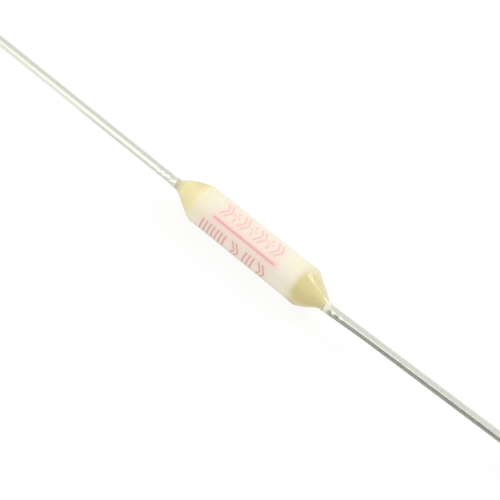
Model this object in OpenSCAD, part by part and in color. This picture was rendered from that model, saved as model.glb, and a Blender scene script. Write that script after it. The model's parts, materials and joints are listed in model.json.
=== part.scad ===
// Axial thermal fuse: a short ceramic tube, closed at both ends by cones of cast resin.
// Two tinned wires run in through the resin to a rod of low-melting alloy inside a coat of flux.
// Millimetres. X runs along the tube from the left lead to the right lead, with its origin
// at the middle of the tube, and +Z is up.

/* [Ceramic tube] */
// Outside diameter of the tube
tube_d = 2.5; // [2.4:0.1:3.5]
// Length of the tube from end face to end face
tube_length = 8.6; // [7.6:0.1:14]
// Diameter of the bore
bore_d = 1.8; // [1.6:0.05:1.85]
// Rounding of the outer edge at each end
tube_edge_r = 0.3; // [0.1:0.05:0.35]

/* [Leads] */
// Diameter of the tinned copper wire
lead_d = 0.6; // [0.4:0.05:0.7]
// Thickness of the tin on the copper
tin_coat = 0.01; // [0.005:0.005:0.02]
// Length over which the tin thins out to bare copper inside the seal
tin_runout = 0.8; // [0.6:0.1:1.2]
// Free length of each lead, from the tip of its seal to its cut end
lead_length = 38; // [10:1:60]
// Chamfer that the cutter leaves on the outer end of each wire
lead_chamfer = 0.08; // [0.02:0.02:0.16]
// Distance off the tube's axis, towards -Y, at which the right lead leaves its seal
right_lead_offset = 0.14; // [0:0.02:0.2]
// Angle by which the right lead stands askew, outwards to +Y
right_lead_angle = 2; // [0:0.5:3]

/* [Resin seals] */
// Depth of the resin plug inside the bore, from the end face of the tube
plug_depth = 1.2; // [0.6:0.1:1.6]
// Thickness of the resin film where it runs back over the tube
film = 0.02; // [0.01:0.01:0.05]
// Rim of resin left round the wire at the tip of a seal
tip_rim = 0.03; // [0.02:0.01:0.06]
// Length of tube that the left film covers, from the start of the end rounding
left_creep = 0.05; // [0.05:0.05:0.5]
// Half angle of the left cone
left_cone_angle = 28.5; // [24:0.5:36]
// Radius of the shoulder between the left film and the left cone
left_shoulder_r = 1; // [0.5:0.05:1.4]
// Radius of the hollow curve where the left cone runs out along the wire
left_hollow_r = 0.5; // [0.2:0.05:1]
// Length of tube that the right film covers, from the start of the end rounding
right_creep = 0.4; // [0.05:0.05:1]
// Half angle of the right cone
right_cone_angle = 32; // [24:0.5:36]
// Radius of the shoulder between the right film and the right cone
right_shoulder_r = 0.7; // [0.5:0.05:1.4]
// Radius of the hollow curve where the right cone runs out along the wire
right_hollow_r = 0.8; // [0.2:0.05:1]

/* [Fusible element] */
// Air space along the axis between the flux and each resin plug
flux_end_gap = 0.9; // [0.3:0.1:1.2]
// Air space between the flux at its thickest and the bore
flux_clearance = 0.1; // [0.05:0.05:0.2]
// Length of wire that the flux covers at each end
flux_overlap = 0.6; // [0.5:0.05:0.9]
// Length over which the flux thins out at each end
flux_taper = 0.7; // [0.3:0.1:1]
// Radius that the flux loses over that length
flux_thinning = 0.1; // [0.05:0.05:0.15]
// Diameter of the alloy rod
link_d = 0.5; // [0.3:0.05:0.55]
// Diameter of the alloy bead that wets the inner end of each wire
bead_d = 0.84; // [0.74:0.02:0.9]

/* [Hidden] */
$fn = 96;

tube_r = tube_d / 2;
tube_half = tube_length / 2;
bore_r = bore_d / 2;
lead_r = lead_d / 2;

// The outside of the tube is straight up to here, and then rounds over to its end face
tube_shoulder = tube_half - tube_edge_r;

// A seal's cone is turned this much larger than the film, and trimmed to the film's radius
cone_oversize = 0.02;
film_r = tube_r + film;
cone_base_r = film_r + cone_oversize;

// Radius lost, and height gained, along an arc that turns a straight side to a cone's slope
function arc_drop(r, angle) = r * (1 - cos(angle));
function arc_rise(r, angle) = r * sin(angle);

// Radii and heights at which a seal's straight cone starts and ends, from the base of its shoulder
function cone_start_r(shoulder_r, angle) = cone_base_r - arc_drop(shoulder_r, angle);
function cone_end_r(hollow_r, angle) = lead_r + tip_rim + arc_drop(hollow_r, angle);
function cone_height(shoulder_r, angle, hollow_r) =
    (cone_start_r(shoulder_r, angle) - cone_end_r(hollow_r, angle)) / tan(angle);
function seal_height(shoulder_r, angle, hollow_r) =
    arc_rise(shoulder_r, angle) + cone_height(shoulder_r, angle, hollow_r) + arc_rise(hollow_r, angle);

left_seal_height = seal_height(left_shoulder_r, left_cone_angle, left_hollow_r);
right_seal_height = seal_height(right_shoulder_r, right_cone_angle, right_hollow_r);

// The right cone leans so that its tip stays centred on the wire that leaves it
right_lean = asin(right_lead_offset / right_seal_height);
left_tip_x = -tube_shoulder - left_seal_height;
right_tip_x = tube_shoulder + right_seal_height * cos(right_lean);

// The plugs, the air beyond them and the covered wire leave this much room for the alloy rod
flux_half = tube_half - plug_depth - flux_end_gap;
flux_r = bore_r - flux_clearance;
wire_end_x = flux_half - flux_overlap;
link_r = link_d / 2;
bead_r = bead_d / 2;

// The askew right wire ends this far off the axis, and the rod slants to meet it
right_wire_end_y = -right_lead_offset - (right_tip_x - wire_end_x) * tan(right_lead_angle);
link_slant = atan2(right_wire_end_y, 2 * wire_end_x);
link_span = norm([2 * wire_end_x, right_wire_end_y]);

// Turns a shape that stands along Z to lie along +X
module along_x() {
    rotate([0, 90, 0]) children();
}

// Section of the tube's wall: x is the radius, y runs along the tube
module tube_section() {
    difference() {
        union() {
            translate([0, -tube_half]) square([tube_r - tube_edge_r, tube_length]);
            translate([0, -tube_shoulder]) square([tube_r, 2 * tube_shoulder]);
            for (end = [-1, 1])
                translate([tube_r - tube_edge_r, end * tube_shoulder]) intersection() {
                    circle(tube_edge_r);
                    translate([0, -tube_edge_r]) square([tube_edge_r, 2 * tube_edge_r]);
                }
        }
        translate([0, -tube_length]) square([bore_r, 2 * tube_length]);
    }
}

module tube_solid() {
    along_x() rotate_extrude() tube_section();
}

// Straight wire along +X: bare copper up to the run-out of the tin, which is whole from the
// tip of the seal on, and a far end that the cutter has chamfered
module cut_wire(inner_length) {
    copper_r = lead_r - tin_coat;
    length = inner_length + lead_length;
    along_x() rotate_extrude() polygon([
        [0, 0], [copper_r, 0], [copper_r, inner_length - tin_runout], [lead_r, inner_length],
        [lead_r, length - lead_chamfer], [lead_r - lead_chamfer, length], [0, length]
    ]);
}

module left_wire() {
    translate([-wire_end_x, 0, 0]) mirror([1, 0, 0]) cut_wire(-left_tip_x - wire_end_x);
}

// The right wire is straight too, but stands askew where it leaves its seal
module right_wire() {
    translate([wire_end_x, right_wire_end_y, 0]) rotate(right_lead_angle)
        cut_wire((right_tip_x - wire_end_x) / cos(right_lead_angle));
}

// Section of a cone of resin, upwards from the base of its shoulder: a straight skirt below,
// the shoulder's arc, the straight cone, and the hollow arc that runs out along the wire
module cone_section(skirt, shoulder_r, angle, hollow_r) {
    start_r = cone_start_r(shoulder_r, angle);
    end_r = cone_end_r(hollow_r, angle);
    start_z = arc_rise(shoulder_r, angle);
    end_z = start_z + cone_height(shoulder_r, angle, hollow_r);
    hollow_z = arc_rise(hollow_r, angle);
    hollow_centre_r = lead_r + tip_rim + hollow_r;
    translate([0, -skirt]) square([cone_base_r, skirt]);
    intersection() {
        translate([cone_base_r - shoulder_r, 0]) circle(shoulder_r);
        square([tube_d, start_z]);
    }
    polygon([[0, start_z], [start_r, start_z], [end_r, end_z], [0, end_z]]);
    difference() {
        translate([0, end_z]) square([hollow_centre_r, hollow_z]);
        translate([hollow_centre_r, end_z + hollow_z]) circle(hollow_r);
    }
}

// Resin at one end of the tube, towards +X: the plug in the bore, and the cone trimmed to the film
module seal_blank(creep, lean, shoulder_r, angle, hollow_r) {
    plug_r = (bore_r + tube_r) / 2;
    reach = creep + 2 * seal_height(shoulder_r, angle, hollow_r);
    translate([tube_half - plug_depth, 0, 0]) along_x() cylinder(r = plug_r, h = plug_depth);
    intersection() {
        translate([tube_shoulder - creep, 0, 0]) along_x() cylinder(r = film_r, h = reach);
        translate([tube_shoulder, 0, 0]) rotate(-lean) along_x()
            rotate_extrude() cone_section(creep + tube_r, shoulder_r, angle, hollow_r);
    }
}

// Rod and end beads of the alloy, before the wires are cut out of them
module link_blank() {
    translate([-wire_end_x, 0, 0]) {
        sphere(bead_r);
        rotate(link_slant) along_x() cylinder(r = link_r, h = link_span);
    }
    translate([wire_end_x, right_wire_end_y, 0]) sphere(bead_r);
}

// Section of the flux: straight in the middle, thinning out towards each end
module flux_section() {
    end_r = flux_r - flux_thinning;
    straight_half = flux_half - flux_taper;
    polygon([
        [0, -flux_half], [end_r, -flux_half], [flux_r, -straight_half],
        [flux_r, straight_half], [end_r, flux_half], [0, flux_half]
    ]);
}

// White ceramic tube, open at both ends
module ceramic_tube() {
    color("#F3EEDF") tube_solid();
}

// Tinned copper wire on the tube's axis
module left_lead() {
    color("#C8C9C8") left_wire();
}

// Tinned copper wire, set a little off the axis and askew
module right_lead() {
    color("#C8C9C8") right_wire();
}

// Cream cone of cast resin that fills the left end and grips the left wire
module left_seal() {
    color("#EBDDAF") difference() {
        mirror([1, 0, 0]) seal_blank(left_creep, 0, left_shoulder_r, left_cone_angle, left_hollow_r);
        tube_solid();
        left_wire();
    }
}

// Cream cone of cast resin that fills the right end and grips the right wire
module right_seal() {
    color("#DFD19B") difference() {
        seal_blank(right_creep, right_lean, right_shoulder_r, right_cone_angle, right_hollow_r);
        tube_solid();
        right_wire();
    }
}

// Rod of low-melting alloy that joins the inner ends of the two wires
module fusible_link() {
    color("#A9ACB2") difference() {
        link_blank();
        left_wire();
        right_wire();
    }
}

// Amber flux that coats the alloy and helps it draw back when it melts
module flux() {
    color("#C98B35") difference() {
        along_x() rotate_extrude() flux_section();
        link_blank();
        left_wire();
        right_wire();
    }
}

ceramic_tube();
left_lead();
right_lead();
left_seal();
right_seal();
fusible_link();
flux();
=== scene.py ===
import json
import math

import bpy
import numpy as np
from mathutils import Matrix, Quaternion, Vector


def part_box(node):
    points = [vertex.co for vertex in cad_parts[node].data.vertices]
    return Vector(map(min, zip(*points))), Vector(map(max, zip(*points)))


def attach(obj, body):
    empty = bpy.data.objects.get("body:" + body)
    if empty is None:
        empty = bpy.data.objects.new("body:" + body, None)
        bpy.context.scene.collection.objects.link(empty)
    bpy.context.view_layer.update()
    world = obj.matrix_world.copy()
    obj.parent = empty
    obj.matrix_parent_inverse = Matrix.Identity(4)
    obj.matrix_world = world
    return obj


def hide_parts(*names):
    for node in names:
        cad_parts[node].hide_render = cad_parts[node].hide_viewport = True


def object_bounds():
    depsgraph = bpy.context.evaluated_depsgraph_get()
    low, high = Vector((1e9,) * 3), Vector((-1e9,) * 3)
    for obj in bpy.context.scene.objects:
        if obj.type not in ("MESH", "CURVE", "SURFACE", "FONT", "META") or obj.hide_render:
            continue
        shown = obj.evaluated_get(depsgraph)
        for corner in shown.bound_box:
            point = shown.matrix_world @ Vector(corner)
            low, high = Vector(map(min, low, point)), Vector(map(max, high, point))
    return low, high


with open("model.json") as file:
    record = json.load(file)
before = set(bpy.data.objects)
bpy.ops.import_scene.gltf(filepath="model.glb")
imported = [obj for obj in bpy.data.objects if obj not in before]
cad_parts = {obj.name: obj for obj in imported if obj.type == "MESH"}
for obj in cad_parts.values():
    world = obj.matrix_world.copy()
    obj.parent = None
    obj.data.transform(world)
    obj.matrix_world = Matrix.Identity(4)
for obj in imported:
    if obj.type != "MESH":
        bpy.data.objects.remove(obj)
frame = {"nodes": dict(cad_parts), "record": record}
cad_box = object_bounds()


# Leads: two straight round copper wires, drawn, dipped in tin and cut to length with a cutter.
# The cast resin grips their inner ends. Near the seals, where the heat of sealing reached it, the tin
# is lumpy or has run along one side, and a bead and a skin of resin cling to it.
MM = 0.001
UP = np.array([0.0, 0.0, 1.0])
LEAD_COLUMNS = 48
LUMP_ROWS = 140
SMOOTH_ROWS = 60
CUT_ROWS = 8
sharp_edge = math.radians(40)
mounts = {mount["name"]: mount for mount in frame["record"]["mounts"]}
lead_r = mounts["left_lead_wire"]["dims"]["r_mm"]
tin_coat = 0.01
copper_r = lead_r - tin_coat
tin_runout = 0.8
cut_edge_r = 0.08
# Each wave of the lumps: its length along the wire, its rounds about it and its share of the height
lump_waves = ((0.9, 1, 0.3), (0.6, -2, 0.4), (0.5, 2, 0.3))
run_start = 0.35
run_reach = 2.2
run_turn = math.radians(113)
run_power = 2
bead_reach = 0.4
bead_cover = 0.7
# The painted highlight: a pale patch on one side of each wire just past its seal's tip, by its middle,
# reach, side and narrowing
painted_highlight_middle = 0.15
painted_highlight_reach = 0.25
painted_highlight_turn = math.radians(40)
painted_highlight_power = 7


def srgb(code):
    """Linear colour, with alpha, of a hex code: each channel is undone by the sRGB curve,
    a straight foot and above it the power 2.4."""
    channels = np.array([int(code[i:i + 2], 16) for i in (1, 3, 5)]) / 255
    linear = np.where(channels <= 0.04045, channels / 12.92, ((channels + 0.055) / 1.055) ** 2.4)
    return (*linear.tolist(), 1.0)


def add_node(tree, kind, inputs=None, **settings):
    """Adds one shader node. Settings are its own properties. Inputs are its sockets, each with
    a value or with the output socket that feeds it."""
    made = tree.nodes.new(kind)
    for name, value in settings.items():
        setattr(made, name, value)
    for name, value in (inputs or {}).items():
        if isinstance(value, bpy.types.NodeSocket):
            tree.links.new(value, made.inputs[name])
        else:
            made.inputs[name].default_value = value
    return made


def start_material(name, constants=None):
    """A material that shows one Principled shader, as (material, node tree, shader). Constants
    are the shader's sockets that have one value all over the surface."""
    material = bpy.data.materials.new(name)
    material.use_nodes = True
    tree = material.node_tree
    tree.nodes.clear()
    shader = add_node(tree, "ShaderNodeBsdfPrincipled", constants)
    add_node(tree, "ShaderNodeOutputMaterial", {"Surface": shader.outputs["BSDF"]})
    return material, tree, shader


def add_object(name, data):
    """Object at the origin that shows the data, put into the scene."""
    made = bpy.data.objects.new(name, data)
    bpy.context.scene.collection.objects.link(made)
    return made


def grid_faces(rows, columns, loop):
    """Corner numbers of the faces over a grid whose columns close on themselves. Rows close too
    where the profile is a loop, and otherwise one flat face closes each end row."""
    row = np.arange(rows if loop else rows - 1)[:, None]
    column = np.arange(columns)[None, :]
    here = row * columns
    after = (row + 1) % rows * columns
    beside = (column + 1) % columns
    corners = (here + column, here + beside, after + beside, after + column)
    quads = np.stack(np.broadcast_arrays(*corners), -1).reshape(-1, 4)
    ends = [] if loop else [np.arange(columns)[::-1], (rows - 1) * columns + np.arange(columns)]
    return quads, ends


def enclosed_volume(points, quads, ends):
    """Volume inside a closed grid, as the sum of the signed tetrahedra from the origin to each
    triangle of its faces. It is negative where the faces point inwards."""
    fans = [np.stack([np.full(len(end) - 2, end[0]), end[1:-1], end[2:]], -1) for end in ends]
    triangles = np.concatenate([quads[:, [0, 1, 2]], quads[:, [0, 2, 3]], *fans])
    first, second, third = (points[triangles[:, i]] for i in range(3))
    return np.einsum("ij,ij->i", first, np.cross(second, third)).sum() / 6


def store_shares(mesh, label, shares):
    """Keeps one number with each point of the mesh, which a material reads by its label."""
    layer = mesh.attributes.new(label, "FLOAT", "POINT")
    layer.data.foreach_set("value", shares.astype(np.float32).ravel())


def surface_piece(name, grids, material, shares=None):
    """Object made of closed grids of points in millimetres, each given as (points, loop), where
    points has rows along a profile or path and columns round it. Faces are turned outwards."""
    points, faces, start = [], [], 0
    for grid, loop in grids:
        flat = grid.reshape(-1, 3)
        quads, ends = grid_faces(grid.shape[0], grid.shape[1], loop)
        step = 1 if enclosed_volume(flat, quads, ends) > 0 else -1
        faces += (quads[:, ::step] + start).tolist() + [(end[::step] + start).tolist() for end in ends]
        points.append(flat)
        start += len(flat)
    mesh = bpy.data.meshes.new(name)
    mesh.from_pydata(np.concatenate(points) * MM, [], faces)
    for label, values in (shares or {}).items():
        store_shares(mesh, label, values)
    mesh.shade_smooth()
    mesh.set_sharp_from_angle(angle=sharp_edge)
    mesh.materials.append(material)
    return add_object(name, mesh)


def bell(distance, reach):
    """Bell curve: e to the power of minus the square of the distance over the reach."""
    return np.exp(-(distance / reach) ** 2)


def one_side(turn, middle, power):
    """Wave round a piece: 1 at the middle angle and 0 opposite it, half of 1 plus the cosine of the
    angle between, to a power that narrows it."""
    return (0.5 + 0.5 * np.cos(turn - middle)) ** power


def lead_line(mount):
    """Tip of the seal, direction outwards and free length up to the cut's rounding, of a lead."""
    axis = np.array(mount["axis"]) / np.linalg.norm(mount["axis"])
    length = mount["dims"]["length_mm"]
    return np.array(mount["pos_m"]) / MM - axis * length / 2, axis, length


def tinned_radius(distance):
    """Radius of a wire by the distance from the seal's tip: bare copper deep inside, tin that
    thickens in a straight line up to the tip, and whole tin outside."""
    return np.interp(distance, [-tin_runout, 0], [copper_r, lead_r])


def lead_grid(mount, inner_x, lump_height, lump_reach, run_height, bead_height, seed):
    """Round wire along its mount's axis with a rounded cut. On its free part stand lumps of tin, a sum
    of sine waves along and round the wire under a bell curve of the distance from the seal's tip;
    a run of tin on one side, a wide bell curve less a narrow one; and the resin's bead, a bell curve.
    With the grid comes the share of pale resin skin and painted highlight on the wire: a bell curve that
    is strongest on one side, which is a painted highlight, or the square of the bead's curve where that
    is more."""
    tip, axis, length = lead_line(mount)
    lump_end = 2 * lump_reach
    cut_arc = np.linspace(0, math.pi / 2, CUT_ROWS)
    distance = np.concatenate([
        [(inner_x - tip[0]) / axis[0], -tin_runout],
        np.linspace(0, lump_end, LUMP_ROWS),
        np.linspace(lump_end, length, SMOOTH_ROWS)[1:],
        length + cut_edge_r * np.sin(cut_arc[1:]),
    ])
    rounding = cut_edge_r * (1 - np.sqrt(1 - np.clip((distance - length) / cut_edge_r, 0, 1) ** 2))
    turn = np.linspace(0, 2 * math.pi, LEAD_COLUMNS, endpoint=False)
    draw = np.random.default_rng(seed)
    proud = np.zeros((len(distance), LEAD_COLUMNS))
    for wavelength, rounds, share in lump_waves:
        phase = draw.uniform(0, 2 * math.pi)
        proud += share * np.sin(2 * math.pi * distance[:, None] / wavelength + rounds * turn + phase)
    proud *= lump_height * bell(distance, lump_reach)[:, None]
    run = run_height * (bell(distance, run_reach) - bell(distance, run_start))
    proud += run[:, None] * one_side(turn, run_turn, run_power)
    bead = bell(distance, bead_reach)[:, None]
    proud += bead_height * bead
    proud *= (distance > 0)[:, None]
    radius = (tinned_radius(distance) - rounding)[:, None] + proud
    outwards = np.cos(turn)[:, None] * UP + np.sin(turn)[:, None] * np.cross(axis, UP)
    grid = tip + distance[:, None, None] * axis + radius[..., None] * outwards
    painted_highlight_and_skin = bell(distance - painted_highlight_middle, painted_highlight_reach)[:, None] * one_side(turn, painted_highlight_turn, painted_highlight_power)
    return grid, np.maximum(painted_highlight_and_skin, bead_cover * bead ** 2)


# Tinned copper is a soft white metal: bright but not sharp, with patches that are a little duller,
# where the tin has crystallised, and faint streaks along the drawing direction, drawn wider than real
# ones so that they show. A skin of pale resin dulls it where the wire leaves the seal, and a pale patch
# on one side there is a painted highlight in the same tone.
tinned_copper, tree, shader = start_material("tinned_copper_wire")
streak_length, streak_width, streak_depth = 1.5 * MM, 0.05 * MM, 0.002 * MM
patch_size = 0.35 * MM
skin_roughness = 0.5
# The Mix node's sockets for colours share their names with others, so they go by number
FROM_COLOUR, TO_COLOUR, MIXED_COLOUR = 6, 7, 2
place = add_node(tree, "ShaderNodeTexCoord").outputs["Object"]
along_wire = add_node(tree, "ShaderNodeMapping", {
    "Vector": place, "Scale": (1 / streak_length, 1 / streak_width, 1 / streak_width)})
streaks = add_node(tree, "ShaderNodeTexNoise", {
    "Vector": along_wire.outputs["Vector"], "Scale": 1.0, "Detail": 2.0})
patches = add_node(tree, "ShaderNodeTexNoise", {"Vector": place, "Scale": 1 / patch_size, "Detail": 3.0})
tin_tone = add_node(tree, "ShaderNodeMix", {
    "Factor": patches.outputs["Fac"],
    FROM_COLOUR: srgb("#E1E2D6"), TO_COLOUR: srgb("#EBECE1")}, data_type="RGBA")
tin_dullness = add_node(tree, "ShaderNodeMapRange", {
    "Value": patches.outputs["Fac"], "From Min": 0.3, "From Max": 0.7, "To Min": 0.24, "To Max": 0.32})
relief = add_node(tree, "ShaderNodeBump", {
    "Height": streaks.outputs["Fac"], "Strength": 0.05, "Distance": streak_depth})
# Where the resin skin or the painted highlight lies, the tin gives way to a pale, dull, non-metal tone
resin_skin_and_highlight = add_node(tree, "ShaderNodeAttribute", attribute_name="resin_wick")
tone = add_node(tree, "ShaderNodeMix", {
    "Factor": resin_skin_and_highlight.outputs["Fac"],
    FROM_COLOUR: tin_tone.outputs[MIXED_COLOUR], TO_COLOUR: srgb("#F4EDD6")}, data_type="RGBA")
bare = add_node(tree, "ShaderNodeMath", {0: 1.0, 1: resin_skin_and_highlight.outputs["Fac"]}, operation="SUBTRACT")
dullness = add_node(tree, "ShaderNodeMapRange", {
    "Value": resin_skin_and_highlight.outputs["Fac"], "To Min": tin_dullness.outputs["Result"], "To Max": skin_roughness})
tree.links.new(tone.outputs[MIXED_COLOUR], shader.inputs["Base Color"])
tree.links.new(bare.outputs["Value"], shader.inputs["Metallic"])
tree.links.new(dullness.outputs["Result"], shader.inputs["Roughness"])
tree.links.new(relief.outputs["Normal"], shader.inputs["Normal"])

# Each lead's share of pale resin skin and painted highlight
for side_name, inner_x, skin_and_highlight_share, surface in (
    ("left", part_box("left_lead")[1].x / MM, 0.2,
     dict(lump_height=0.034, lump_reach=1.8, run_height=0, bead_height=0.03, seed=3)),
    ("right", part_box("right_lead")[0].x / MM, 1.0,
     dict(lump_height=0.02, lump_reach=1.1, run_height=0.06, bead_height=0.06, seed=8)),
):
    grid, painted_highlight_and_skin = lead_grid(mounts[side_name + "_lead_wire"], inner_x, **surface)
    wire = surface_piece(
        side_name + "_tinned_wire", [(grid, False)], tinned_copper, {"resin_wick": skin_and_highlight_share * painted_highlight_and_skin})
    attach(wire, "root")
    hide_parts(side_name + "_lead")


# Fusible link: a cast rod of low-melting alloy, soldered to the inner ends of both wires. It is
# sealed in and can't be seen, so the solid stays and gets the dull grey skin of such an alloy.
fusible_alloy, tree, shader = start_material(
    "cast_low_melting_alloy", {"Metallic": 1.0, "Roughness": 0.42})
crystal_size = 0.12 * MM
place = add_node(tree, "ShaderNodeTexCoord").outputs["Object"]
crystals = add_node(tree, "ShaderNodeTexNoise", {
    "Vector": place, "Scale": 1 / crystal_size, "Detail": 4.0})
tone = add_node(tree, "ShaderNodeMix", {
    "Factor": crystals.outputs["Fac"],
    FROM_COLOUR: srgb("#9A9DA4"), TO_COLOUR: srgb("#BABDC3")}, data_type="RGBA")
tree.links.new(tone.outputs[MIXED_COLOUR], shader.inputs["Base Color"])
frame["nodes"]["fusible_link"].data.materials.clear()
frame["nodes"]["fusible_link"].data.materials.append(fusible_alloy)


# Flux: clear amber rosin, melted round the rod, that makes the alloy draw back when it melts.
# It is sealed in too, so the solid stays, with the gloss and the cloudy amber of set rosin.
amber_rosin, tree, shader = start_material("set_amber_rosin", {"IOR": 1.54, "Roughness": 0.15})
rosin_cloud_size = 0.5 * MM
place = add_node(tree, "ShaderNodeTexCoord").outputs["Object"]
clouds = add_node(tree, "ShaderNodeTexNoise", {
    "Vector": place, "Scale": 1 / rosin_cloud_size, "Detail": 3.0})
tone = add_node(tree, "ShaderNodeMix", {
    "Factor": clouds.outputs["Fac"],
    FROM_COLOUR: srgb("#B87421"), TO_COLOUR: srgb("#DDA552")}, data_type="RGBA")
tree.links.new(tone.outputs[MIXED_COLOUR], shader.inputs["Base Color"])
frame["nodes"]["flux"].data.materials.clear()
frame["nodes"]["flux"].data.materials.append(amber_rosin)


# Ceramic tube: a length of steatite tube, extruded, cut and fired without a glaze, with its end
# edges rounded. It is slid over the flux, and the two seals hold it.
ROUND_COLUMNS = 192
OUTSIDE_ROWS = 200
EDGE_ROWS = 12
BORE_ROWS = 12
tube_r = mounts["tube_body"]["dims"]["r_mm"]
tube_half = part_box("ceramic_tube")[1].x / MM
bore_r = 0.9
tube_edge_r = 0.3
tube_shoulder = tube_half - tube_edge_r


def around(x, radius, turn):
    """Points at a distance along the tube's axis, a radius and an angle from +Z towards -Y."""
    x, radius, turn = np.broadcast_arrays(x, radius, turn)
    return np.stack([x, -radius * np.sin(turn), radius * np.cos(turn)], -1)


# The tube's grid is its section carried round the axis: outside, right edge, bore and left edge
turn = np.linspace(0, 2 * math.pi, ROUND_COLUMNS, endpoint=False)
edge_arc = np.linspace(0, math.pi / 2, EDGE_ROWS)
right_edge_x = tube_shoulder + tube_edge_r * np.sin(edge_arc)
edge_radius = tube_r - tube_edge_r * (1 - np.cos(edge_arc))
outside_x = np.linspace(-tube_shoulder, tube_shoulder, OUTSIDE_ROWS)
bore_x = np.linspace(tube_half, -tube_half, BORE_ROWS)
tube_x = np.concatenate([outside_x, right_edge_x[1:], bore_x, -right_edge_x[:0:-1]])
tube_radius = np.concatenate([
    np.full(OUTSIDE_ROWS, tube_r), edge_radius[1:], np.full(BORE_ROWS, bore_r), edge_radius[:0:-1]])
tube_grid = around(tube_x[:, None], tube_radius[:, None], turn)

# Fired steatite is a warm white, matt but close-grained, so it gives a broad, weak gloss and a faint
# bloom at the rim. It is mottled very faintly, and its grain is drawn coarser than real so that it
# shows. The unglazed skin draws a blush of ink out of each printed stroke and a stain out of the resin.
steatite_roughness = 0.5
steatite, tree, shader = start_material("fired_steatite", {
    "IOR": 1.6, "Roughness": steatite_roughness, "Sheen Weight": 0.45, "Sheen Roughness": 0.5})
mottle_size, grain_size, grain_depth = 0.6 * MM, 0.05 * MM, 0.0015 * MM
place = add_node(tree, "ShaderNodeTexCoord").outputs["Object"]
mottle = add_node(tree, "ShaderNodeTexNoise", {"Vector": place, "Scale": 1 / mottle_size, "Detail": 4.0})
grain = add_node(tree, "ShaderNodeTexNoise", {"Vector": place, "Scale": 1 / grain_size, "Detail": 2.0})
body_tone = add_node(tree, "ShaderNodeMix", {
    "Factor": mottle.outputs["Fac"],
    FROM_COLOUR: srgb("#EFE7CF"), TO_COLOUR: srgb("#F4EDD8")}, data_type="RGBA")
blush = add_node(tree, "ShaderNodeAttribute", attribute_name="ink_blush")
blushed = add_node(tree, "ShaderNodeMix", {
    "Factor": blush.outputs["Fac"],
    FROM_COLOUR: body_tone.outputs[MIXED_COLOUR], TO_COLOUR: srgb("#FDD0C7")}, data_type="RGBA")
stain = add_node(tree, "ShaderNodeAttribute", attribute_name="resin_stain")
tone = add_node(tree, "ShaderNodeMix", {
    "Factor": stain.outputs["Fac"],
    FROM_COLOUR: blushed.outputs[MIXED_COLOUR], TO_COLOUR: srgb("#F5EAB0")}, data_type="RGBA")
relief = add_node(tree, "ShaderNodeBump", {
    "Height": grain.outputs["Fac"], "Strength": 0.3, "Distance": grain_depth})
tree.links.new(tone.outputs[MIXED_COLOUR], shader.inputs["Base Color"])
tree.links.new(relief.outputs["Normal"], shader.inputs["Normal"])

tube = surface_piece("steatite_tube", [(tube_grid, True)], steatite)
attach(tube, "root")
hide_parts("ceramic_tube")


# Seals: cream epoxy, cast into each end of the tube round the wire. It fills the end of the bore,
# runs out along the wire in a cone and creeps back over the tube's edge in a film with an uneven
# front. The right cone leans with its wire and has a drop on its shoulder and a bead at its tip.
CONE_ROWS = 110
FILM_ROWS = 14
HOLE_ROWS = 16
PLUG_ROWS = 6
UNDERSIDE_ROWS = 2
film = 0.02
film_thinning = 0.95
film_r = tube_r + film
cone_oversize = 0.02
cone_base_r = film_r + cone_oversize
tip_rim = 0.03
tip_r = lead_r + tip_rim
plug_depth = 1.2
plug_x = tube_half - plug_depth
ripple_height = 0.006
# Each ripple: its waves round the cone and its radians from base to tip
ripple_waves = ((2, 3), (3, -5), (5, 7))
drop_up = 0.75
drop_turn = math.radians(-12)
drop_reach = 0.36
stain_share = 0.2
bulk_share = 0.72
bulk_lean = 0.28
tip_lean = 0.4
# The pale rim along a seal's rear flank, by its side, narrowing and reach from the tip, is painted light
painted_rim_turn = math.radians(-80)
painted_rim_power = 4
painted_rim_fade = 1.7
# Angles round the tube that are counted from the side that faces the photograph's camera
shown_turn = math.radians(22.9)
facing = turn - shown_turn


def cone_profile(shoulder_r, half_angle, hollow_r):
    """Height of a seal above its shoulder's base, and a function that gives its radius at any
    height: an arc from straight to the cone's slope, the cone, and a hollow arc along the wire."""
    start_r = cone_base_r - shoulder_r * (1 - math.cos(half_angle))
    end_r = tip_r + hollow_r * (1 - math.cos(half_angle))
    start = shoulder_r * math.sin(half_angle)
    end = start + (start_r - end_r) / math.tan(half_angle)
    top = end + hollow_r * math.sin(half_angle)

    def radius(height):
        shoulder = cone_base_r - shoulder_r + np.sqrt(np.maximum(shoulder_r ** 2 - height ** 2, 0))
        straight = start_r - (height - start) * math.tan(half_angle)
        hollow = tip_r + hollow_r - np.sqrt(np.maximum(hollow_r ** 2 - (top - height) ** 2, 0))
        return np.where(height < start, shoulder, np.where(height < end, straight, hollow))

    return top, radius


def wave(share, size, bends, skew):
    """Sine of a share from 0 to 1 to the power of the skew, with as many half waves as bends."""
    return size * np.sin(bends * math.pi * share ** skew)


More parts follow.
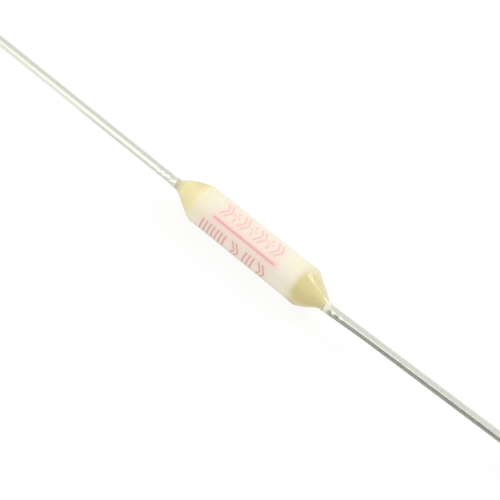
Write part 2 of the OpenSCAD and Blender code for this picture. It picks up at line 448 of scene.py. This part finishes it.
def leaning_cone(top, radius, tip_y, swell, shift, drop_height, bead_height, seed):
    """The cone's side, about an axis that leans from the middle of the tube's end to the wire: radius
    by height, with a swell that is a wave of the height and faint ripples that fade at both ends,
    trimmed to the film. The section is shifted aside by another wave. A drop of resin stands on the
    shoulder and a bead rings the tip, each a bell curve of the distance from its middle."""
    lean = math.asin(tip_y / top)
    height = np.linspace(0, top, CONE_ROWS)[:, None]
    share = height / top
    draw = np.random.default_rng(seed)
    ripple = sum(
        np.sin(rounds * turn + radians * share + draw.uniform(0, 2 * math.pi))
        for rounds, radians in ripple_waves) / len(ripple_waves)
    side = radius(height) + wave(share, *swell) + ripple * wave(share, ripple_height, 1, 1)
    from_drop = np.sqrt((height - drop_up) ** 2 + 2 * side ** 2 * (1 - np.cos(turn - drop_turn)))
    side += drop_height * bell(from_drop, drop_reach) + bead_height * bell(top - height, bead_reach)
    across = -side * np.sin(turn)
    x = tube_shoulder + height * math.cos(lean) - across * math.sin(lean)
    aside = wave(share, *shift)
    y = height * math.sin(lean) + across * math.cos(lean) + aside * math.cos(shown_turn)
    z = side * np.cos(turn) + aside * math.sin(shown_turn)
    trim = np.minimum(1, film_r / np.hypot(y, z))
    return np.stack([x, y * trim, z * trim], -1)


def seal_grid(cone, front, tip, axis):
    """A seal towards +X as a closed loop of rows: the film, which thickens from its front as
    a parabola, the cone, the hole round the wire back to the plug, the plug's end and side, the tube's
    end and edge, and the film's underside."""
    rise = np.linspace(0, 1, FILM_ROWS, endpoint=False)[:, None]
    film_x = front + (cone[0, :, 0] - front) * rise
    film_top = around(film_x, tube_r + film * (1 - film_thinning * (1 - rise) ** 2), turn)
    hole_x = cone[-1, :, 0] + (plug_x - cone[-1, :, 0]) * np.linspace(0, 1, HOLE_ROWS)[:, None]
    from_tip = (hole_x - tip[0]) / axis[0]
    hole = around(hole_x, tinned_radius(from_tip), turn)
    hole[..., 1] += tip[1] + from_tip * axis[1]
    plug = around(np.linspace(plug_x, tube_half, PLUG_ROWS)[:, None], bore_r, turn)
    edge = around(right_edge_x[::-1, None], edge_radius[::-1, None], turn)
    back = np.linspace(0, 1, UNDERSIDE_ROWS + 1)[1:, None]
    underside = around(tube_shoulder + (front - tube_shoulder) * back, tube_r, turn)
    return np.concatenate([film_top, cone, hole, plug, edge, underside])


def smooth_step(value):
    """Eases from 0 to 1 as the value goes from 0 to 1, level at both ends."""
    share = np.clip(value, 0, 1)
    return share * share * (3 - 2 * share)


def resin_cover(x, start, length, stain_reach):
    """Share of the resin's own colour over the tube, by the distance along it: a faint stain that dies
    away before the start as a bell curve, and from the start a smooth rise to whole resin."""
    stain = stain_share * bell(np.maximum(start - x, 0), stain_reach)
    return stain + (1 - stain) * smooth_step((x - start) / length)


def resin_bulk(x, middle, reach):
    """Share of the tone of thick resin: a bell curve along the tube, on both flanks by the square of
    the sine of the facing angle, and more on the rear one."""
    return bell(x - middle, reach) * np.sin(facing) ** 2 * (bulk_share - bulk_lean * np.sin(facing))


def resin_tip(from_tip, tip_share, tip_turn, tip_fade, painted_rim_share):
    """Share of the tip's tone, which eases away with the distance from the tip: all round it, more on
    one side by a cosine, and further along the rear flank, where it is a painted pale rim of light."""
    tip_round = tip_share * (1 - tip_lean + tip_lean * np.cos(facing - tip_turn))
    painted_rim_round = painted_rim_share * one_side(facing, painted_rim_turn, painted_rim_power)
    return np.maximum(
        tip_round * (1 - smooth_step(from_tip / tip_fade)),
        painted_rim_round * (1 - smooth_step(from_tip / painted_rim_fade)))


def cast_epoxy(name, light, dark, thick, tip, roughness, sheen):
    """Cast epoxy is cream, smooth and a little waxy, so it takes a soft gloss. It is yellow where it is
    thick. Where it thins out over the tube it is as white and matt as the tube. At the left tip the grey
    of the wire shows and at the right tip a pale tone; along the right's rear flank that pale tone is
    painted light, a pale rim."""
    epoxy, tree, shader = start_material(name, {
        "IOR": 1.55, "Sheen Weight": sheen, "Sheen Roughness": 0.5})
    cloud_size = 0.45 * MM
    place = add_node(tree, "ShaderNodeTexCoord").outputs["Object"]
    clouds = add_node(tree, "ShaderNodeTexNoise", {
        "Vector": place, "Scale": 1 / cloud_size, "Detail": 3.0})
    bulk = add_node(tree, "ShaderNodeAttribute", attribute_name="resin_bulk")
    cover = add_node(tree, "ShaderNodeAttribute", attribute_name="resin_cover")
    tip_and_painted_rim = add_node(tree, "ShaderNodeAttribute", attribute_name="resin_tip")
    cloudy = add_node(tree, "ShaderNodeMix", {
        "Factor": clouds.outputs["Fac"],
        FROM_COLOUR: srgb(dark), TO_COLOUR: srgb(light)}, data_type="RGBA")
    deepened = add_node(tree, "ShaderNodeMix", {
        "Factor": bulk.outputs["Fac"],
        FROM_COLOUR: cloudy.outputs[MIXED_COLOUR], TO_COLOUR: srgb(thick)}, data_type="RGBA")
    over_tube = add_node(tree, "ShaderNodeMix", {
        "Factor": cover.outputs["Fac"],
        FROM_COLOUR: srgb("#F3ECD6"), TO_COLOUR: deepened.outputs[MIXED_COLOUR]}, data_type="RGBA")
    tone = add_node(tree, "ShaderNodeMix", {
        "Factor": tip_and_painted_rim.outputs["Fac"],
        FROM_COLOUR: over_tube.outputs[MIXED_COLOUR], TO_COLOUR: srgb(tip)}, data_type="RGBA")
    dullness = add_node(tree, "ShaderNodeMapRange", {
        "Value": cover.outputs["Fac"], "To Min": steatite_roughness, "To Max": roughness})
    tree.links.new(tone.outputs[MIXED_COLOUR], shader.inputs["Base Color"])
    tree.links.new(dullness.outputs["Result"], shader.inputs["Roughness"])
    return epoxy


# Each film's front, by the distance from the tube's middle: it creeps back from the shoulder, and
# a fine wave makes it uneven. The right film creeps furthest on the far side.
left_creep = 0.05
right_creep = 0.47
right_slant = 0.2
right_skew = 0.05
front_wave = 0.015
left_front = tube_shoulder - left_creep + front_wave * np.cos(3 * turn)
right_front = tube_shoulder - right_creep + front_wave * np.sin(5 * turn)
right_front += right_slant * np.cos(facing) - right_skew * np.sin(facing)
# Swell and shift are waves along the cone, each as its size, bends and skew
seals = {
    "left": dict(
        profile=cone_profile(shoulder_r=1.0, half_angle=math.radians(28.5), hollow_r=0.5),
        slump=dict(
            swell=(-0.035, 2, 0.75), shift=(0.085, 1, 1.8), drop_height=0, bead_height=0, seed=5),
        front=left_front,
        cover=dict(
            start=tube_shoulder - 0.38 + 0.5 * np.sin(facing) ** 2 + 0.02 * np.cos(5 * turn),
            length=0.9 - 0.65 * np.abs(np.sin(facing)), stain_reach=0.7),
        bulk=dict(middle=tube_shoulder + 0.8, reach=0.65),
        tip=dict(tip_share=0.75, tip_turn=math.radians(40), tip_fade=0.75, painted_rim_share=0.0),
        epoxy=cast_epoxy(
            "pale_cast_epoxy", light="#F9EDB6", dark="#F6EAB0", thick="#D3C286", tip="#B9B7A4",
            roughness=0.3, sheen=0.0)),
    "right": dict(
        profile=cone_profile(shoulder_r=0.7, half_angle=math.radians(32), hollow_r=0.8),
        slump=dict(
            swell=(0.095, 1, 1.5), shift=(-0.05, 2, 1.3), drop_height=0.03, bead_height=0.035, seed=6),
        front=right_front,
        cover=dict(
            start=right_front + 0.04,
            length=0.36 + 0.9 * np.sin(facing) ** 2 - 0.5 * np.sin(facing) ** 3, stain_reach=0.35),
        bulk=dict(middle=tube_shoulder + 0.5, reach=0.45),
        tip=dict(tip_share=0.5, tip_turn=math.radians(-50), tip_fade=0.28, painted_rim_share=0.6),
        epoxy=cast_epoxy(
            "deep_cast_epoxy", light="#E1D499", dark="#D7C989", thick="#D7C989", tip="#E0DAC4",
            roughness=0.24, sheen=0.45)),
}
tube_stain = np.zeros(tube_grid.shape[:2])
for side_name, form in seals.items():
    tip, axis, _ = lead_line(mounts[side_name + "_lead_wire"])
    mirror = np.array([np.sign(axis[0]), 1, 1])
    cone = leaning_cone(*form["profile"], tip[1], **form["slump"])
    grid = seal_grid(cone, form["front"], tip * mirror, axis * mirror)
    seal = surface_piece(side_name + "_resin_cone", [(grid * mirror, True)], form["epoxy"], {
        "resin_cover": resin_cover(grid[..., 0], **form["cover"]),
        "resin_bulk": resin_bulk(grid[..., 0], **form["bulk"]),
        "resin_tip": resin_tip(abs(tip[0]) - grid[..., 0], **form["tip"]),
    })
    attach(seal, "root")
    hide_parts(side_name + "_seal")
    tube_side = tube_grid[:OUTSIDE_ROWS, :, 0] * mirror[0]
    tube_stain[:OUTSIDE_ROWS] += np.where(tube_side > 0, resin_cover(tube_side, **form["cover"]), 0)
store_shares(tube.data, "resin_stain", tube_stain)


# Print: one line and two rows of plain marks in red ink, stamped on the tube before it is cured.
# The marks are generic strokes, and each is a flat ridge of ink on the round of the tube.
STROKE_COLUMNS = 12
STROKE_ROWS = 60
ink_height = 0.005
end_taper = 0.98
row_half = 0.5
bar_lean = 0.1
chevron_depth = 0.32
chevron_softness = 0.1
chevron_pair = (0, 0.3)
spark_start = (0.1, 0.14)
spark_end = (0.23, 0.42)


def stroke_grid(path, half_width):
    """A flat ellipse carried along a path on the unrolled tube and rolled back on to it. The path is
    (distance along the tube, distance round it). Within half a width of both ends the ellipse shrinks
    as the chord of a circle does, so that the ends are round."""
    tangent = np.gradient(path, axis=0)
    tangent /= np.linalg.norm(tangent, axis=1)[:, None]
    run = np.concatenate([[0], np.cumsum(np.linalg.norm(np.diff(path, axis=0), axis=1))])
    to_end = np.minimum(run, run[-1] - run)
    taper = np.sqrt(1 - (end_taper * np.clip(1 - to_end / half_width, 0, 1)) ** 2)[:, None]
    ring = np.linspace(0, 2 * math.pi, STROKE_COLUMNS, endpoint=False)
    across = half_width * taper * np.cos(ring)
    x = path[:, :1] - across * tangent[:, 1:]
    round_tube = path[:, 1:] + across * tangent[:, :1]
    return around(x, tube_r + ink_height * taper * np.sin(ring), round_tube / tube_r)


def straight(start_x, start_round, end_x, end_round):
    """Straight path, closer spaced at both ends by a cosine, where the stroke rounds off."""
    share = (1 - np.cos(np.linspace(0, math.pi, STROKE_ROWS)))[:, None] / 2
    return np.array([start_x, start_round]) * (1 - share) + np.array([end_x, end_round]) * share


def bar(x, middle):
    """Straight stroke that leans along the tube."""
    return straight(x - bar_lean, middle + row_half, x + bar_lean, middle - row_half)


def chevron(x, middle):
    """Angle that points along the tube: a hyperbola, so that its corner is soft."""
    across = np.sin(np.linspace(-math.pi / 2, math.pi / 2, STROKE_ROWS))
    back = chevron_depth * (0.5 - np.hypot(across, chevron_softness))
    return np.stack([x + back, middle + row_half * across], -1)


def spark(x, middle):
    """Four short arms round an open centre."""
    return [
        straight(
            x + spark_start[0] * i, middle + spark_start[1] * j,
            x + spark_end[0] * i, middle + spark_end[1] * j)
        for i, j in ((1, 0), (0, 1), (-1, 0), (0, -1))]


# Each row's place round the unrolled tube, and its strokes by their places along it
line_round = math.radians(30.1) * tube_r
upper_round = math.radians(-9.5) * tube_r
lower_round = math.radians(74) * tube_r
line_paths = [straight(-2.56, line_round, 2.31, line_round)]
upper_paths = [
    chevron(x + gap, upper_round) for x in np.linspace(-2.25, 1.75, 4) for gap in chevron_pair]
upper_paths += [arm for x in np.linspace(-1.43, 1.23, 3) for arm in spark(x, upper_round)]
lower_paths = [bar(x, lower_round) for x in np.linspace(-3.1, -1.3, 7)]
lower_paths += [chevron(x + gap, lower_round) for x in (-0.55, 1.55) for gap in chevron_pair]
lower_paths += [bar(x, lower_round) for x in np.linspace(0.35, 0.95, 3)]

# Red marking ink dries thin, matt and speckled on fired ceramic, so it is a dusty pink that lets
# some of the white through. The speckle is drawn coarser than real so that it shows. The upper row's
# tones are paler, as painted light, and the lower row's darker, as painted shade; the blush round the
# upper row is weaker than round the lower one.
speckle_size = 0.09 * MM
blush_reach = 0.27
blush_step = 3
tube_round = tube_r * ((turn + math.pi) % (2 * math.pi) - math.pi)
outside = np.stack(np.broadcast_arrays(outside_x[:, None], tube_round), -1).reshape(-1, 1, 2)
ink_blush = np.zeros(tube_grid.shape[:2])
for row_name, paths, half_width, thick, thin, blush_share in (
    ("line", line_paths, 0.078, "#E8A3A2", "#F5C5BF", 1.0),
    ("upper_marks", upper_paths, 0.06, "#EABFB8", "#F4D5CD", 0.45),
    ("lower_marks", lower_paths, 0.06, "#D5A09E", "#E8BEB9", 0.6),
):
    marking_ink, tree, shader = start_material(
        "red_marking_ink_" + row_name, {"IOR": 1.5, "Roughness": 0.6})
    place = add_node(tree, "ShaderNodeTexCoord").outputs["Object"]
    speckle = add_node(tree, "ShaderNodeTexNoise", {
        "Vector": place, "Scale": 1 / speckle_size, "Detail": 3.0})
    tone = add_node(tree, "ShaderNodeMix", {
        "Factor": speckle.outputs["Fac"],
        FROM_COLOUR: srgb(thick), TO_COLOUR: srgb(thin)}, data_type="RGBA")
    tree.links.new(tone.outputs[MIXED_COLOUR], shader.inputs["Base Color"])
    mark = surface_piece(
        "ink_" + row_name, [(stroke_grid(path, half_width), False) for path in paths], marking_ink)
    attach(mark, "root")
    # The blush fades as a bell curve of the distance on the unrolled tube to the nearest stroke
    middles = np.concatenate([path[::blush_step] for path in paths])
    nearest = np.sqrt(((outside - middles) ** 2).sum(-1).min(1)).reshape(OUTSIDE_ROWS, -1)
    row_blush = blush_share * bell(nearest, blush_reach)
    ink_blush[:OUTSIDE_ROWS] = np.maximum(ink_blush[:OUTSIDE_ROWS], row_blush)
store_shares(tube.data, "ink_blush", ink_blush)


# Stage: a white light table that the part lies on, so that hardly a shadow shows, a soft light from
# the upper right, a weaker one from the front left, and a white surround that is dimmer below. Two
# cards and three strips, which the camera doesn't see, are there only to be mirrored in the part; the
# strips are painted shadow on the table.
table_half = 1.5
opal_sheet, _, _ = start_material("lit_opal_sheet", {
    "Base Color": srgb("#808080"), "Roughness": 0.9, "Specular IOR Level": 0.2,
    "Emission Color": srgb("#FFFFFF"), "Emission Strength": 0.79})
floor_mesh = bpy.data.meshes.new("white_table")
corner = np.array([(-1, -1, 0), (1, -1, 0), (1, 1, 0), (-1, 1, 0)]) * table_half
floor_mesh.from_pydata(corner + np.array([0, 0, cad_box[0].z]), [], [(0, 1, 2, 3)])
floor_mesh.materials.append(opal_sheet)
floor = add_object("white_table", floor_mesh)
floor.visible_diffuse = False


def soft_light(name, direction, distance, width, height, roll, radiance):
    """Oblong area light that shines on the part from a direction and a distance in millimetres,
    rolled about that direction, with the power that gives its face that radiance."""
    light = add_object(name, bpy.data.lights.new(name, "AREA"))
    light.data.shape = "RECTANGLE"
    light.data.size = width * MM
    light.data.size_y = height * MM
    light.data.energy = radiance * math.pi * light.data.size * light.data.size_y
    light.location = Vector(direction).normalized() * distance * MM
    light.rotation_mode = "QUATERNION"
    light.rotation_quaternion = light.location.to_track_quat("Z", "Y") @ Quaternion((0, 0, 1), roll)
    light.visible_camera = False


soft_light(
    "upper_right_light", direction=(0.395, 0.671, 0.625), distance=260,
    width=120, height=48, roll=math.radians(-50), radiance=10.4)
soft_light(
    "front_left_light", direction=(-0.34, -0.6, 0.72), distance=300,
    width=160, height=160, roll=0, radiance=1.1)


def mirrored_card(name, x_range, section, glow):
    """Card bent along a section of (y, z) points and as long in x as the range, in millimetres,
    that glows evenly and is seen only where the part mirrors it."""
    paint, _, _ = start_material(name + "_paint", {
        "Base Color": srgb("#000000"), "Emission Color": srgb("#FFFFFF"), "Emission Strength": glow})
    points = np.zeros((len(section), 2, 3))
    points[..., 0] = x_range
    points[..., 1:] = np.array(section)[:, None]
    mesh = bpy.data.meshes.new(name)
    mesh.from_pydata(points.reshape(-1, 3) * MM, [], [
        (2 * i, 2 * i + 1, 2 * i + 3, 2 * i + 2) for i in range(len(section) - 1)])
    mesh.materials.append(paint)
    card = add_object(name, mesh)
    card.visible_camera = False
    card.visible_diffuse = False
    card.visible_shadow = False


# The white card brightens what the left lead mirrors, and the grey one darkens what the rest mirrors
# from the front. The strips, a hair above the table, are painted shadow: they stand in for the shadow
# that the part casts on the table, and dim the table where the part mirrors it.
strip_z = -1.2
contact_z = -1.22
mirrored_card("white_card", (-48, -13.5), [(-5, 56), (-51.5, 20)], glow=1.3)
mirrored_card("grey_card", (-7.2, 45), [(-35, 52), (-35, strip_z)], glow=0.2)
mirrored_card("grey_strip", (5.4, 45), [(-9, strip_z), (-1.4, strip_z)], glow=0.2)
mirrored_card("pale_strip", (-15, -6.3), [(-8, strip_z), (-0.6, strip_z)], glow=0.7)
mirrored_card("contact_strip", (-4.2, 4.3), [(-1.9, contact_z), (2.6, contact_z)], glow=0.12)

world = bpy.data.worlds.new("white_surround")
world.use_nodes = True
tree = world.node_tree
ray = add_node(tree, "ShaderNodeTexCoord").outputs["Generated"]
ray_height = add_node(tree, "ShaderNodeSeparateXYZ", {"Vector": ray}).outputs["Z"]
surround_glow = add_node(tree, "ShaderNodeMapRange", {
    "Value": ray_height, "From Min": -0.2, "From Max": 0.2, "To Min": 0.78, "To Max": 0.83})
surround = tree.nodes["Background"]
surround.inputs["Color"].default_value = srgb("#FFFFFF")
tree.links.new(surround_glow.outputs["Result"], surround.inputs["Strength"])
bpy.context.scene.world = world
bpy.context.scene.view_settings.view_transform = "Standard"

# The photograph is taken from 43 degrees to the right of the front and 60 degrees up, with a long
# lens, and the middle of the tube lies a little above and to the right of the picture's centre.
view_azimuth = math.radians(43)
view_elevation = math.radians(60)
view_distance = 126
picture_px, focal_px = 500, 2125
middle_px = (252.7, 244.3)
camera = add_object("camera", bpy.data.cameras.new("camera"))
camera.data.sensor_width = 36
camera.data.lens = camera.data.sensor_width * focal_px / picture_px
camera.data.clip_start = 5 * MM
towards = Vector((
    math.sin(view_azimuth) * math.cos(view_elevation),
    -math.cos(view_azimuth) * math.cos(view_elevation),
    math.sin(view_elevation)))
camera.rotation_mode = "QUATERNION"
camera.rotation_quaternion = towards.to_track_quat("Z", "Y")
px_size = view_distance / focal_px
aside = (picture_px / 2 - middle_px[0]) * px_size
above = (middle_px[1] - picture_px / 2) * px_size
camera.location = (
    towards * view_distance + camera.rotation_quaternion @ Vector((aside, above, 0))) * MM
bpy.context.scene.camera = camera
